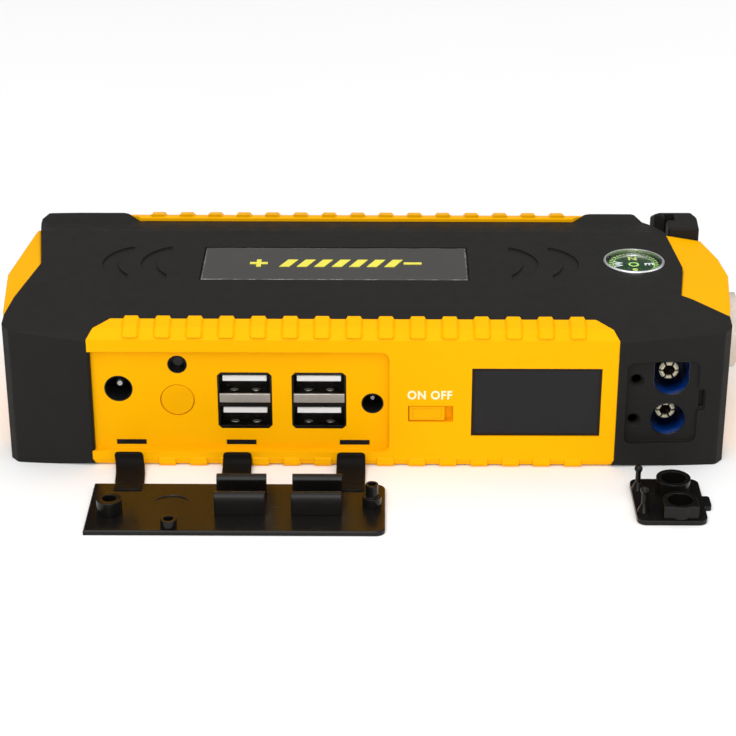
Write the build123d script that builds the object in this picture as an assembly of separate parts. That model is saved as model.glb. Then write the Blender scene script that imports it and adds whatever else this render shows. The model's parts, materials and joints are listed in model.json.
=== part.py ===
from build123d import *
import os

# Jump starter pack. Millimetres, +Z up, X along the length, Y from the port side to the back.
# The origin is the centre of the underside. Both rubber covers lie open in front of the pack.

# ---- driving dimensions -------------------------------------------------------------------
CASE_LENGTH = 178.0        # over the black corners
CASE_DEPTH = 78.0
CASE_HEIGHT = 38.3
SEAM_Z = 17.5              # where the two black shells meet
WALL = 2.4
SHOULDER_Z = 34.0          # top of the upright sides
SHOULDER_IN = 2.2          # how far the shoulder leans in
FLAT_HALF = 22.0           # half the depth of the flat top
FOOT_IN = 1.0              # bottom edge chamfer
INSERT_OVER = 4.0          # the yellow end panels stand this far past the black corners

PANEL_X0, PANEL_X1 = -68.0, 61.4   # yellow side panels, at the outer face
PANEL_SKEW = 6.0           # the panel ends run in by this much over the panel's lip
PANEL_LIP = 5.8            # depth of the lip that wraps over the top
PANEL_WALL = 4.0
RIB_COUNT, RIB_PITCH, RIB_MID_X = 15, 7.75, -3.0
RIB_WIDTH = 4.3
RIB_PROUD = 0.65

RECESS_DEPTH = 1.8         # both port recesses
PORT_X0, PORT_X1, PORT_Z0, PORT_Z1 = -70.0, 5.6, 4.1, 31.2
SOCK_X0, SOCK_X1, SOCK_Z0, SOCK_Z1 = 63.6, 81.4, 6.4, 28.6
SOCK_FACE_Y = -38.6        # where the shut socket cover's outer face lies

USB_X = (-29.9, -11.65)    # middles of the two stacks
USB_W, USB_Z0, USB_Z1, USB_DEPTH = 13.3, 9.7, 24.95, 16.0
USB_MOUTHS = ((10.5, 15.7), (19.2, 24.4))
USB_BAR_Z0, USB_BAR_Z1 = 16.8, 19.2        # bright bar between the two mouths
TONGUE_DROP, TONGUE_T = 0.5, 1.5           # tongue under the mouth's top, and its thickness
CONTACT_T = 0.15
DC_IN_X, DC_IN_Z, DC_IN_R = -60.9, 20.5, 3.5
DC_OUT_X, DC_OUT_Z, DC_OUT_R = 1.5, 16.65, 2.75
SLEEVE_T = 0.3             # wall of a socket's sleeve inside the panel
LIGHT_X, LIGHT_Z, LIGHT_R = -46.25, 27.1, 2.4
BUTTON_X, BUTTON_Z, BUTTON_R, BUTTON_TRAVEL = -46.5, 17.4, 4.1, 0.8
SLOT_X, SLOT_HALF, SLOT_Z0, SLOT_Z1 = (-58.3, -31.0, -2.9), 3.7, 5.1, 6.5
SWITCH_X0, SWITCH_X1, SWITCH_Z0, SWITCH_Z1 = 10.3, 21.3, 12.5, 16.9
SWITCH_TRAVEL = 1.8
LCD_X0, LCD_X1, LCD_Z0, LCD_Z1 = 25.8, 57.5, 8.6, 27.1
BARRELS = ((74.4, 12.4), (74.7, 23.3))     # the power socket's two holes, lower then upper
BARREL_R = 4.6
TAIL_HOLES = ((65.9, 12.1), (66.2, 22.9))
TAIL_HOLE_R, TAIL_SINK_R, TAIL_SINK_DEPTH = 1.2, 1.9, 0.9

COVER_T = 1.2
PORT_COVER = (-66.2, 4.7, 6.4, 29.7)       # x0, x1, z0, z1 when shut
SOCK_COVER = (64.4, 81.1, 6.9, 27.7)
STRAP_X = (-59.0, -32.0, -3.8)
STRAP_W, STRAP_T = 7.0, 1.1

PLATE_X0, PLATE_X1, PLATE_Y0, PLATE_Y1 = -42.5, 25.8, -10.6, 11.0
COMPASS_X, COMPASS_Y, COMPASS_R = 68.7, 1.5, 7.95
COMPASS_BORE = 7.25        # inside of the chrome ring
TORCH_Z, TORCH_R = 20.0, 9.8

BOARD_Y = -21.0            # front face of the main board
HOUSING_BACK = -24.8       # back of the power socket's blue housing
SCREWS = ((-75.0, -28.0), (-75.0, 28.0), (57.5, 28.0), (64.5, -24.5))

# ---- values worked out from them ----------------------------------------------------------
HALF_L = CASE_LENGTH / 2
HALF_D = CASE_DEPTH / 2
FRONT = -HALF_D
RECESS_Y = FRONT + RECESS_DEPTH
PANEL_BACK = FRONT + PANEL_WALL
LIP_Y = HALF_D - PANEL_LIP
CAVITY_Y = HALF_D - PANEL_WALL - 0.4
CAVITY_TOP = SHOULDER_Z
SOCK_FLOOR_Y = SOCK_FACE_Y + RECESS_DEPTH
# A cover turns about an axis in front of the pack's foot, so that its outer face ends on the
# panel's face and a port at height z meets the cover at fold - z in front. The axis lies at
# y = (face + fold) / 2 and z = (fold - face) / 2.
PORT_FOLD = -43.8
SOCK_FOLD = -40.2


# ---- small helpers ------------------------------------------------------------------------
def block(x0, x1, y0, y1, z0, z1):
    """Box between two corners."""
    middle = Pos((x0 + x1) / 2, (y0 + y1) / 2, (z0 + z1) / 2)
    return middle * Box(x1 - x0, y1 - y0, z1 - z0)


def rounded_face(points, radius, keep_sharp):
    """Flat face on an outline, with its corners rounded except where keep_sharp says so."""
    face = make_face(Polyline(*points, close=True))
    corners = [vertex for vertex in face.vertices() if not keep_sharp(vertex)]
    return fillet(corners, radius) if radius and corners else face


def prism_z(points, z0, z1, radius=0, keep_sharp=lambda vertex: False):
    """Plan outline carried upwards."""
    face = rounded_face([(x, y, z0) for x, y in points], radius, keep_sharp)
    return extrude(face, amount=z1 - z0, dir=(0, 0, 1))


def prism_x(points, x0, x1, radius=0, keep_sharp=lambda vertex: False):
    """Cross-section of (y, z) points carried along X."""
    face = rounded_face([(x0, y, z) for y, z in points], radius, keep_sharp)
    return extrude(face, amount=x1 - x0, dir=(1, 0, 0))


def prism_y(points, y0, y1):
    """Elevation of (x, z) points carried along Y."""
    face = make_face(Polyline(*[(x, y0, z) for x, z in points], close=True))
    return extrude(face, amount=y1 - y0, dir=(0, 1, 0))


def rod_x(y, z, radius, x0, x1):
    return Pos((x0 + x1) / 2, y, z) * Rot(0, 90, 0) * Cylinder(radius, x1 - x0)


def rod_y(x, z, radius, y0, y1):
    return Pos(x, (y0 + y1) / 2, z) * Rot(90, 0, 0) * Cylinder(radius, y1 - y0)


def rod_z(x, y, radius, z0, z1):
    return Pos(x, y, (z0 + z1) / 2) * Cylinder(radius, z1 - z0)


def soften(shape, axis, radius):
    """Round the edges of a block that run along one axis."""
    return fillet(shape.edges().filter_by(axis), radius)


def mirrored(points):
    """Close a cross-section by adding its mirror image across the middle."""
    return points + [(-y, z) for y, z in reversed(points)]


def join(shapes):
    """Fuse a list of shapes into one."""
    total = shapes[0]
    for shape in shapes[1:]:
        total = total + shape
    return total


def write(node, *shapes):
    """Write one node; every shape stays a solid of its own."""
    solids = [solid for shape in shapes for solid in shape.solids()]
    body = solids[0] if len(solids) == 1 else Compound(children=solids)
    export_step(body, f"parts/{node}.step")
    return solids


# ---- black case ---------------------------------------------------------------------------
OUTER_SECTION = mirrored([
    (HALF_D - FOOT_IN, 0.0), (HALF_D, FOOT_IN), (HALF_D, SHOULDER_Z),
    (HALF_D - SHOULDER_IN, SHOULDER_Z + SHOULDER_IN), (FLAT_HALF, CASE_HEIGHT)])
# The black corners stand higher along the back, level with the yellow panel's top.
BACK_CORNER_SECTION = [
    (LIP_Y, SHOULDER_Z - 1.0), (HALF_D, SHOULDER_Z - 1.0), (HALF_D, SHOULDER_Z + 1.8),
    (HALF_D - 1.0, SHOULDER_Z + 3.2), (HALF_D - 2.4, SHOULDER_Z + 3.5), (LIP_Y, SHOULDER_Z + 2.6)]
INNER_SECTION = mirrored([
    (CAVITY_Y, WALL), (CAVITY_Y, CAVITY_TOP), (FLAT_HALF, CASE_HEIGHT - WALL)])
SHELL_ROUND = 1.1          # long edges
CORNER_ROUND = 1.5         # upright corner edges
CORNER_BACK = 1.8          # the corner faces fall back by this much towards the ends
LEFT_INNER = [(-HALF_L, -30.0), (-84.1, 0.0), (-88.5, 29.6)]
RIGHT_INNER = [(HALF_L, -30.0), (78.2, -19.7), (80.8, -2.0), (79.0, 21.7)]
HOOK_LEDGE_Z = 20.0


def case_plan():
    """Outline of the black case seen from above, without the end panels."""
    front = [(PANEL_X1, -HALF_D), (86.9, -HALF_D + CORNER_BACK), (HALF_L, -34.6)]
    right = RIGHT_INNER + [(88.6, 21.7), (HALF_L, 30.0), (86.9, HALF_D - CORNER_BACK)]
    back = [(PANEL_X1, HALF_D), (PANEL_X0, HALF_D), (-86.9, HALF_D - CORNER_BACK), (-88.9, 34.0)]
    left = list(reversed(LEFT_INNER)) + [(-HALF_L, -34.6), (-86.9, -HALF_D + CORNER_BACK)]
    return front + right + back + left + [(PANEL_X0, -HALF_D)]


def panel_plan(side, reach=2.0):
    """Ground covered by a side panel; side is -1 at the front and +1 at the back."""
    skew = PANEL_SKEW * (1 + reach / PANEL_LIP)
    outer = HALF_D + reach
    return [(PANEL_X0 - skew + PANEL_SKEW, side * outer), (PANEL_X0 + PANEL_SKEW, side * LIP_Y),
            (PANEL_X1 - PANEL_SKEW, side * LIP_Y), (PANEL_X1 + skew - PANEL_SKEW, side * outer)]


def panel_room(side):
    """Space that a side panel takes: skewed lips, and a wall with nearly square ends."""
    y0, y1 = sorted((side * (HALF_D + 2), side * CAVITY_Y))
    wall = block(PANEL_X0 + 0.6, PANEL_X1 - 0.6, y0, y1, 3.2, SHOULDER_Z + 0.4)
    return prism_z(panel_plan(side), -5, 60) + wall


def crescent(apex_x, open_to):
    """Engraved crescent on the top; open_to is +1 when its hollow faces +X."""
    outer_r, inner_r, shift, half = 12.1, 10.9, 2.9, 10.8
    centre = apex_x + open_to * outer_r
    outer = rod_z(centre, 0.4, outer_r, CASE_HEIGHT - 0.5, CASE_HEIGHT + 1)
    inner = rod_z(centre + open_to * shift, 0.4, inner_r, CASE_HEIGHT - 1, CASE_HEIGHT + 2)
    x0, x1 = sorted((apex_x - open_to, apex_x + open_to * 7.3))
    return (outer - inner) & block(x0, x1, 0.4 - half, 0.4 + half, 30, 45)


CRESCENTS = ((-68.3, 1), (-58.4, 1), (44.0, -1), (54.4, -1))

HOOK_CUT = [(79.0, 21.7), (78.1, 25.0), (76.4, 29.6), (70.8, 39.5), (95.0, 39.5), (95.0, 21.7)]


def end_pegs(side):
    """Two pegs that hold an end panel in the case wall."""
    x0, x1 = (-87.0, -82.2) if side < 0 else (77.6, 84.0)
    return [rod_x(y, 19.0, 1.9, x0, x1) for y in (-14.5, 14.5)]


def case_solid():
    """The whole black case before it is split at the seam."""
    case = prism_x(OUTER_SECTION, -95, 95, SHELL_ROUND)
    for x0, x1 in ((-95, PANEL_X0 + PANEL_SKEW), (PANEL_X1 - PANEL_SKEW, 95)):
        case += prism_x(BACK_CORNER_SECTION, x0, x1)
    case &= prism_z(case_plan(), -1, 50, CORNER_ROUND, lambda v: abs(v.Y) < 33 or abs(v.X) < 80)
    case -= prism_x(INNER_SECTION, -81.3, 75.6)
    case -= block(62.0, 81.2, -CAVITY_Y, HOUSING_BACK + 0.3, 4.4, 30.6)
    case -= block(62.0, 77.4, -CAVITY_Y, -9.0, 6.0, 30.6)
    for side in (-1, 1):
        case -= panel_room(side)
    case -= prism_z(HOOK_CUT, HOOK_LEDGE_Z, 50)
    case -= soften(block(SOCK_X0, SOCK_X1, -45, SOCK_FLOOR_Y, SOCK_Z0, SOCK_Z1), Axis.Y, 2.0)
    case -= soften(block(SOCK_X1 - 1, SOCK_X1 + 1.8, -45, SOCK_FLOOR_Y, 15.2, 21.0), Axis.Y, 0.8)
    for x, z in BARRELS:
        case -= rod_y(x, z, BARREL_R, -45, -30)
    case -= block(BARRELS[1][0] - BARREL_R, BARRELS[1][0] + BARREL_R, -45, -30,
                  BARRELS[1][1], SOCK_Z1 - 0.3)
    for x, z in TAIL_HOLES:
        case -= rod_y(x, z, TAIL_HOLE_R, -45, -30)
        sink = Pos(x, SOCK_FLOOR_Y + TAIL_SINK_DEPTH / 2, z) * Rot(90, 0, 0)
        case -= sink * Cone(TAIL_HOLE_R, TAIL_SINK_R, TAIL_SINK_DEPTH)
    case -= block(SOCK_X1 + 0.3, SOCK_X1 + 1.5, -45, SOCK_FLOOR_Y + 1.4, 16.0, 20.4)
    case -= rod_x(0, TORCH_Z, 8.6, 70, 90)
    case -= block(PLATE_X0 - 0.1, PLATE_X1 + 0.1, PLATE_Y0 - 0.1, PLATE_Y1 + 0.1, CASE_HEIGHT - 0.9, 45)
    case -= rod_z(COMPASS_X, COMPASS_Y, 7.4, 29, 50)
    case -= rod_z(COMPASS_X, COMPASS_Y, COMPASS_R, CASE_HEIGHT - 0.6, 50)
    for apex_x, open_to in CRESCENTS:
        case -= crescent(apex_x, open_to)
    for side in (-1, 1):
        for peg in end_pegs(side):
            case -= peg
    return case


BOSS_R, SCREW_CLEAR_R, HEAD_R = 3.2, 1.6, 2.8
SCREW_R, SCREW_SEAT_Z, SCREW_TOP_Z = 1.15, 8.0, 25.0


def case_shells():
    """Lower and upper black shells, with the screw posts that join them."""
    case = case_solid()
    lower = case & block(-95, 95, -50, 50, -1, SEAM_Z)
    upper = case & block(-95, 95, -50, 50, SEAM_Z, 60)
    for x, y in SCREWS:
        lower += rod_z(x, y, BOSS_R, WALL - 0.2, SEAM_Z)
        lower -= rod_z(x, y, SCREW_CLEAR_R, -1, SEAM_Z + 1)
        lower -= rod_z(x, y, HEAD_R, -1, SCREW_SEAT_Z)
        upper += rod_z(x, y, BOSS_R - 0.3, SEAM_Z, CASE_HEIGHT - WALL + 0.4)
        upper -= rod_z(x, y, SCREW_R, SEAM_Z - 1, SCREW_TOP_Z + 2)
    write("bottom_shell", lower)
    write("top_shell", upper)


def case_screws():
    """Four screws driven up from the underside."""
    screws = []
    for x, y in SCREWS:
        head = rod_z(x, y, HEAD_R - 0.2, SCREW_SEAT_Z - 1.8, SCREW_SEAT_Z)
        slot = block(x - 0.35, x + 0.35, y - 1.6, y + 1.6, SCREW_SEAT_Z - 2, SCREW_SEAT_Z - 1)
        cross = block(x - 1.6, x + 1.6, y - 0.35, y + 0.35, SCREW_SEAT_Z - 2, SCREW_SEAT_Z - 1)
        screws.append(head + rod_z(x, y, SCREW_R, SCREW_SEAT_Z, SCREW_TOP_Z) - slot - cross)
    write("case_screws", *screws)


# ---- yellow panels ------------------------------------------------------------------------
LIP_TOP_Z = 37.9
PANEL_FOOT_Z = 0.35


def panel_section(side):
    """Cross-section of a side panel: wall, top lip and bottom lip."""
    lip, wall = LIP_Y + 0.05, HALF_D - PANEL_WALL
    half = [(HALF_D, 1.9), (HALF_D, SHOULDER_Z + 0.5), (HALF_D - 1.5, 36.9), (lip, LIP_TOP_Z),
            (lip, SHOULDER_Z + 0.4), (wall, SHOULDER_Z + 0.2), (wall, 3.2), (lip, 3.2),
            (lip, PANEL_FOOT_Z), (HALF_D - 0.6, PANEL_FOOT_Z)]
    return [(side * y, z) for y, z in half]


def rib(side):
    """Raised pads over the top edge and under the bottom edge, centred on x = 0."""
    p = RIB_PROUD
    top = [(HALF_D - 1.0, 34.2), (HALF_D + p * 0.55, 35.3), (HALF_D - 1.2, 36.9 + p),
           (LIP_Y + 0.3, LIP_TOP_Z + p), (LIP_Y + 0.3, LIP_TOP_Z - 0.6), (HALF_D - 2.2, 35.8)]
    foot = [(LIP_Y + 1.0, PANEL_FOOT_Z + 0.6), (HALF_D - 1.2, PANEL_FOOT_Z + 1.2),
            (HALF_D - 0.6, 2.9), (HALF_D + p * 0.55, 2.2), (HALF_D + p * 0.55, 0.9),
            (HALF_D - 0.3, 0.0), (LIP_Y + 1.0, 0.0)]
    pads = []
    for points, bevel in ((top, 0.6), (foot, 0.2)):
        pad = prism_x([(side * y, z) for y, z in points], -RIB_WIDTH / 2, RIB_WIDTH / 2)
        ends = pad.faces().sort_by(Axis.X)
        pads.append(chamfer(ends[0].edges() + ends[-1].edges(), bevel))
    return pads


def side_panel(side):
    """Ribbed yellow panel that wraps one long side of the case."""
    panel = prism_x(panel_section(side), PANEL_X0 - 1, PANEL_X1 + 1, 0.45,
                    lambda v: abs(v.Y) < HALF_D - PANEL_WALL + 0.1 and 2 < v.Z < 37)
    panel &= panel_room(side)
    pads = rib(side)
    first = RIB_MID_X - RIB_PITCH * (RIB_COUNT - 1) / 2
    for index in range(RIB_COUNT):
        for pad in pads:
            panel += Pos(first + index * RIB_PITCH, 0, 0) * pad
    return panel


def front_panel():
    """Front panel with its recess and every opening."""
    panel = side_panel(-1)
    panel -= soften(block(PORT_X0, PORT_X1, FRONT - 2, RECESS_Y, PORT_Z0, PORT_Z1), Axis.Y, 2.0)
    panel -= block(PORT_X0 - 1, PORT_X0 + 6, FRONT - 2, RECESS_Y, PORT_Z0, PORT_Z1)
    through = (FRONT - 2, PANEL_BACK + 0.5)
    for x in USB_X:
        half = USB_W / 2 + 0.05
        hole = block(x - half, x + half, *through, USB_Z0 - 0.05, USB_Z1 + 0.05)
        panel -= chamfer(hole.edges().filter_by(Axis.Y), 0.9)
    for x, z, radius in ((DC_IN_X, DC_IN_Z, DC_IN_R), (DC_OUT_X, DC_OUT_Z, DC_OUT_R),
                         (LIGHT_X, LIGHT_Z, LIGHT_R), (BUTTON_X, BUTTON_Z, BUTTON_R + 0.12)):
        panel -= rod_y(x, z, radius, *through)
    panel -= block(SWITCH_X0, SWITCH_X1, FRONT - 2, FRONT + 2.4, SWITCH_Z0, SWITCH_Z1)
    panel -= block(SWITCH_X0 + 2.5, SWITCH_X0 + 7.6, *through, 13.4, 16.0)
    panel -= block(LCD_X0, LCD_X1, *through, LCD_Z0, LCD_Z1)
    for x in SLOT_X:
        panel -= block(x - SLOT_HALF, x + SLOT_HALF, RECESS_Y - 1, PANEL_BACK + 0.5, SLOT_Z0, SLOT_Z1)
    write("front_panel", panel)


def slot_liners():
    """Black liners that close the three strap slots under the ports."""
    gap, half = 0.05, SLOT_HALF - 0.05
    write("slot_liners", *[block(x - half, x + half, RECESS_Y + 0.1, PANEL_BACK, SLOT_Z0 + gap,
                                 SLOT_Z1 - gap) for x in SLOT_X])


WEDGE_ROUND = 0.5


def end_panel_left():
    """Wedge that fills the hollow of the left end and comes to a point."""
    plan = LEFT_INNER + [(-89.5, 25.0), (-HALF_L - INSERT_OVER, 0.0), (-90.2, -25.0)]
    slope = [(-80.0, 39.2), (-96.0, 34.0), (-96.0, 4.2), (-80.0, -0.2)]
    panel = prism_z(plan, -1, 45) & prism_y(slope, -50, 50)
    panel = fillet(panel.edges(), WEDGE_ROUND)
    write("left_end_panel", join([panel] + end_pegs(-1)))


def end_panel_right():
    """Right end wedge, bored for the torch."""
    plan = RIGHT_INNER + [(88.7, 21.7), (91.9, 10.5), (HALF_L + INSERT_OVER, 0.0), (90.4, -22.0)]
    slope = [(76.0, 38.2), (96.0, 34.8), (96.0, 4.2), (76.0, 0.0)]
    panel = prism_z(plan, -1, 45) & prism_y(slope, -50, 50)
    panel = fillet(panel.edges(), WEDGE_ROUND)
    panel = join([panel] + end_pegs(1)) - rod_x(0, TORCH_Z, TORCH_R + 0.1, 70, 100)
    write("right_end_panel", panel)


# ---- top: name plate, compass, belt cutter --------------------------------------------------
def name_plate():
    """Bevelled plate in the top, with a raised battery sign on it."""
    top = CASE_HEIGHT - 0.1
    plate = block(PLATE_X0, PLATE_X1, PLATE_Y0, PLATE_Y1, CASE_HEIGHT - 0.9, top)
    plate = chamfer(plate.faces().sort_by(Axis.Z)[-1].edges(), 0.45)
    write("name_plate", plate)
    mid_y, arm, stroke, rise = (PLATE_Y0 + PLATE_Y1) / 2, 2.3, 1.2, 0.15
    low, high = top, top + rise
    first, pitch, bars, lean = -21.6, 4.5, 7, 1.1
    plus_x, minus_x = -28.0, 11.6
    plus = block(plus_x - arm, plus_x + arm, mid_y - stroke / 2, mid_y + stroke / 2, low, high)
    plus += block(plus_x - stroke / 2, plus_x + stroke / 2, mid_y - arm, mid_y + arm, low, high)
    minus = block(minus_x - arm, minus_x + arm, mid_y - stroke / 2, mid_y + stroke / 2, low, high)
    marks = [plus, minus]
    for index in range(bars):
        x = first + index * pitch
        outline = [(x - lean, mid_y - arm), (x - lean + 2.6, mid_y - arm),
                   (x + lean + 2.6, mid_y + arm), (x + lean, mid_y + arm)]
        marks.append(prism_z(outline, low, high))
    write("plate_marks", *marks)


CUP_FLOOR_Z = 30.6
CARD_Z0, CARD_Z1 = 36.85, 37.55
CARD_R = 6.5


def compass():
    """Compass: cup, chrome ring, dome, turning card and the point that it turns on."""
    ring_top = CASE_HEIGHT + 0.6
    cup = rod_z(COMPASS_X, COMPASS_Y, 7.35, CUP_FLOOR_Z - 1.2, CASE_HEIGHT - 0.65)
    cup -= rod_z(COMPASS_X, COMPASS_Y, CARD_R + 0.35, CUP_FLOOR_Z, 50)
    write("compass_cup", cup)
    ring = rod_z(COMPASS_X, COMPASS_Y, COMPASS_R - 0.05, CASE_HEIGHT - 0.6, ring_top)
    ring = chamfer(ring.faces().sort_by(Axis.Z)[-1].edges(), 0.25)
    write("compass_ring", ring - rod_z(COMPASS_X, COMPASS_Y, COMPASS_BORE, 30, 50))
    base = CASE_HEIGHT - 0.6
    dome_r = 16.0
    dome = rod_z(COMPASS_X, COMPASS_Y, COMPASS_BORE - 0.05, base, base + 5)
    dome &= Pos(COMPASS_X, COMPASS_Y, ring_top + 0.6 - dome_r) * Sphere(dome_r)
    hollow = rod_z(COMPASS_X, COMPASS_Y, COMPASS_BORE - 0.7, base - 1, base + 5)
    hollow &= Pos(COMPASS_X, COMPASS_Y, ring_top - 0.3 - dome_r) * Sphere(dome_r)
    write("compass_dome", dome - hollow)
    pin = rod_z(COMPASS_X, COMPASS_Y, 0.5, CUP_FLOOR_Z, CARD_Z1 - 0.5)
    write("compass_point", pin + rod_z(COMPASS_X, COMPASS_Y, 1.6, CUP_FLOOR_Z, CUP_FLOOR_Z + 1.0))
    card = rod_z(COMPASS_X, COMPASS_Y, CARD_R, CARD_Z0, CARD_Z1)
    card += rod_z(COMPASS_X, COMPASS_Y, 1.2, CARD_Z0 - 1.4, CARD_Z0)
    magnet = block(COMPASS_X - 4.2, COMPASS_X + 4.2, COMPASS_Y - 1.7, COMPASS_Y + 1.7, CARD_Z0 - 1.0,
                   CARD_Z0)
    card = card + magnet - rod_z(COMPASS_X, COMPASS_Y, 0.56, 30, CARD_Z1 - 0.45)
    write("compass_card", card)


HOOK_TOP = 39.6
HOOK_PLAN = [(80.0, 21.9), (88.2, 21.9), (88.6, 30.0), (86.6, 36.6), (76.6, 37.2), (77.6, 33.6),
             (80.0, 29.6)]


def belt_cutter():
    """Hooked corner with a steel blade across the slot between it and the case."""
    hook = prism_z(HOOK_PLAN, HOOK_LEDGE_Z, HOOK_TOP)
    rear_slope = [(20.0, 20.0), (20.0, HOOK_TOP), (33.0, HOOK_TOP), (38.0, 36.6), (38.0, 20.0)]
    hook &= prism_x(rear_slope, 70, 95)
    hook = fillet(hook.edges(), 0.8)
    hook -= block(79.9, 82.4, 27.4, 32.2, 33.0, 45)
    blade = prism_z([(77.2, 25.6), (82.3, 23.4), (82.6, 24.0), (77.5, 26.2)], 24.0, 36.0)
    blade -= prism_z(case_gap(), 0, 60)
    write("belt_cutter_hook", hook - blade)
    write("belt_cutter_blade", blade)


def case_gap():
    """Ground of the case beside the belt slot, which the blade only touches."""
    return [(60.0, 21.7), (79.0, 21.7), (78.1, 25.0), (76.4, 29.6), (60.0, 29.6)]


# ---- torch --------------------------------------------------------------------------------
LENS_X0, LENS_X1 = 90.6, 97.5


def torch():
    """Lens, reflector, lamp and lamp board in the right end."""
    length, dome_r = LENS_X1 - LENS_X0, 23.0
    lens = rod_z(0, 0, TORCH_R, 0, length) & Pos(0, 0, length - dome_r) * Sphere(dome_r)
    lens -= rod_z(0, 0, TORCH_R - 1.6, -1, 2.0)
    write("torch_lens", Pos(LENS_X0, 0, TORCH_Z) * Rot(0, 90, 0) * lens)
    mouth_r, throat_r, back_x = TORCH_R - 0.6, 3.2, 82.0
    depth = LENS_X0 - 0.1 - back_x
    outside = Plane(origin=(back_x, 0, TORCH_Z), z_dir=(1, 0, 0))
    shell = loft([outside * Circle(throat_r + 1.2), outside.offset(depth) * Circle(mouth_r)])
    bowl = loft([outside.offset(-0.1) * Circle(throat_r),
                 outside.offset(depth + 0.1) * Circle(mouth_r - 1.0)])
    write("torch_reflector", shell - bowl)
    board = rod_x(0, TORCH_Z, 8.4, 79.0, 80.4)
    lamp = block(80.4, 81.4, -2.5, 2.5, TORCH_Z - 2.5, TORCH_Z + 2.5)
    lamp += Pos(81.4, 0, TORCH_Z) * Sphere(1.9) & block(81.4, 85, -3, 3, TORCH_Z - 3, TORCH_Z + 3)
    write("torch_board", board)
    write("torch_lamp", lamp)


# ---- ports, button, switch, display ---------------------------------------------------------
def usb_sockets():
    """Two stacks of two USB sockets: dark shells, bright bars, white tongues, gold contacts."""
    shells, bars, tongues, contacts = [], [], [], []
    back = RECESS_Y + USB_DEPTH
    for x in USB_X:
        half = USB_W / 2
        shell = block(x - half, x + half, RECESS_Y, back, USB_Z0, USB_Z1)
        shell = chamfer(shell.edges().filter_by(Axis.Y), 0.9)
        for z0, z1 in USB_MOUTHS:
            shell -= block(x - half + 0.45, x + half - 0.45, RECESS_Y - 1, back - 0.6, z0, z1)
            top = z1 - TONGUE_DROP
            tongue = block(x - 5.4, x + 5.4, RECESS_Y + 0.6, back - 4.0, top - TONGUE_T, top)
            tongue += block(x - 6.1, x + 6.1, back - 4.0, back - 0.7, z0 + 0.05, z1 - 0.05)
            tongues.append(tongue)
            for lane in (-1.5, -0.5, 0.5, 1.5):
                middle = x + lane * 2.4
                contacts.append(block(middle - 0.5, middle + 0.5, RECESS_Y + 1.2, back - 4.2,
                                      top - TONGUE_T - CONTACT_T, top - TONGUE_T))
        bar = block(x - 6.25, x + 6.25, RECESS_Y - 0.1, RECESS_Y + 0.5, USB_BAR_Z0, USB_BAR_Z1)
        shells.append(shell - bar)
        bars.append(chamfer(bar.faces().sort_by(Axis.Y)[0].edges(), 0.1))
    write("usb_shells", *shells)
    write("usb_bars", *bars)
    write("usb_tongues", *tongues)
    write("usb_contacts", *contacts)


def round_socket(node, pin_node, x, z, hole_r, flange, pin_r):
    """Round power socket: a plastic tube whose sleeve fills the panel's hole, and a centre pin."""
    tube = rod_y(x, z, hole_r + flange, PANEL_BACK, BOARD_Y)
    tube += rod_y(x, z, hole_r - 0.05, RECESS_Y, PANEL_BACK + 1)
    tube -= rod_y(x, z, hole_r - SLEEVE_T, -45, BOARD_Y - 2)
    pin = rod_y(x, z, pin_r, PANEL_BACK + 0.8, BOARD_Y - 2)
    pin = chamfer(pin.faces().sort_by(Axis.Y)[0].edges(), pin_r * 0.4)
    write(node, tube)
    write(pin_node, pin)


def round_button():
    """Press button with its retaining flange, and the switch that it works."""
    flange_back = PANEL_BACK + 0.9
    cap = rod_y(BUTTON_X, BUTTON_Z, BUTTON_R, RECESS_Y - 0.05, flange_back)
    cap = fillet(cap.faces().sort_by(Axis.Y)[0].edges(), 0.4)
    cap += rod_y(BUTTON_X, BUTTON_Z, BUTTON_R + 0.9, PANEL_BACK + 0.05, flange_back)
    write("round_button", cap)
    stem_front = flange_back + BUTTON_TRAVEL + 0.1
    base = block(BUTTON_X - 3, BUTTON_X + 3, BOARD_Y - 3.5, BOARD_Y, BUTTON_Z - 3, BUTTON_Z + 3)
    stem = rod_y(BUTTON_X, BUTTON_Z, 1.7, stem_front, BOARD_Y - 3.5)
    write("button_switch", base + stem)


def power_switch():
    """Slide switch: dished yellow knob on a lever, and the switch body behind the panel."""
    gap = 0.15
    x1 = SWITCH_X1 - SWITCH_TRAVEL - gap
    knob = block(SWITCH_X0 + gap, x1, FRONT + 0.2, FRONT + 2.3, SWITCH_Z0 + gap, SWITCH_Z1 - gap)
    knob = chamfer(knob.faces().sort_by(Axis.Y)[0].edges(), 0.3)
    knob -= block(SWITCH_X0 + 1.0, x1 - 0.85, FRONT, FRONT + 0.4, SWITCH_Z0 + 0.85, SWITCH_Z1 - 0.85)
    lever_x = SWITCH_X0 + 2.7
    knob += block(lever_x, lever_x + 2.8, FRONT + 2.3, PANEL_BACK + 3.0, 13.7, 15.7)
    write("switch_knob", knob)
    body = block(8.0, 22.4, PANEL_BACK + 0.1, BOARD_Y, 10.8, 18.6)
    body -= block(lever_x - 0.2, lever_x + 5.0, PANEL_BACK - 1, PANEL_BACK + 3.4, 13.4, 16.0)
    write("switch_body", body)


def display():
    """Dark display window with the display module behind it."""
    window = block(LCD_X0 + 0.05, LCD_X1 - 0.05, FRONT + 0.45, PANEL_BACK - 1.6,
                   LCD_Z0 + 0.05, LCD_Z1 - 0.05)
    write("display_window", window)
    module = block(LCD_X0 + 0.5, LCD_X1 - 0.5, PANEL_BACK - 1.6, PANEL_BACK + 0.1,
                   LCD_Z0 + 0.5, LCD_Z1 - 0.5)
    module += block(LCD_X0 - 1.6, LCD_X1 + 1.6, PANEL_BACK + 0.1, PANEL_BACK + 3.0, 6.8, 28.9)
    write("display_module", module)


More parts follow.
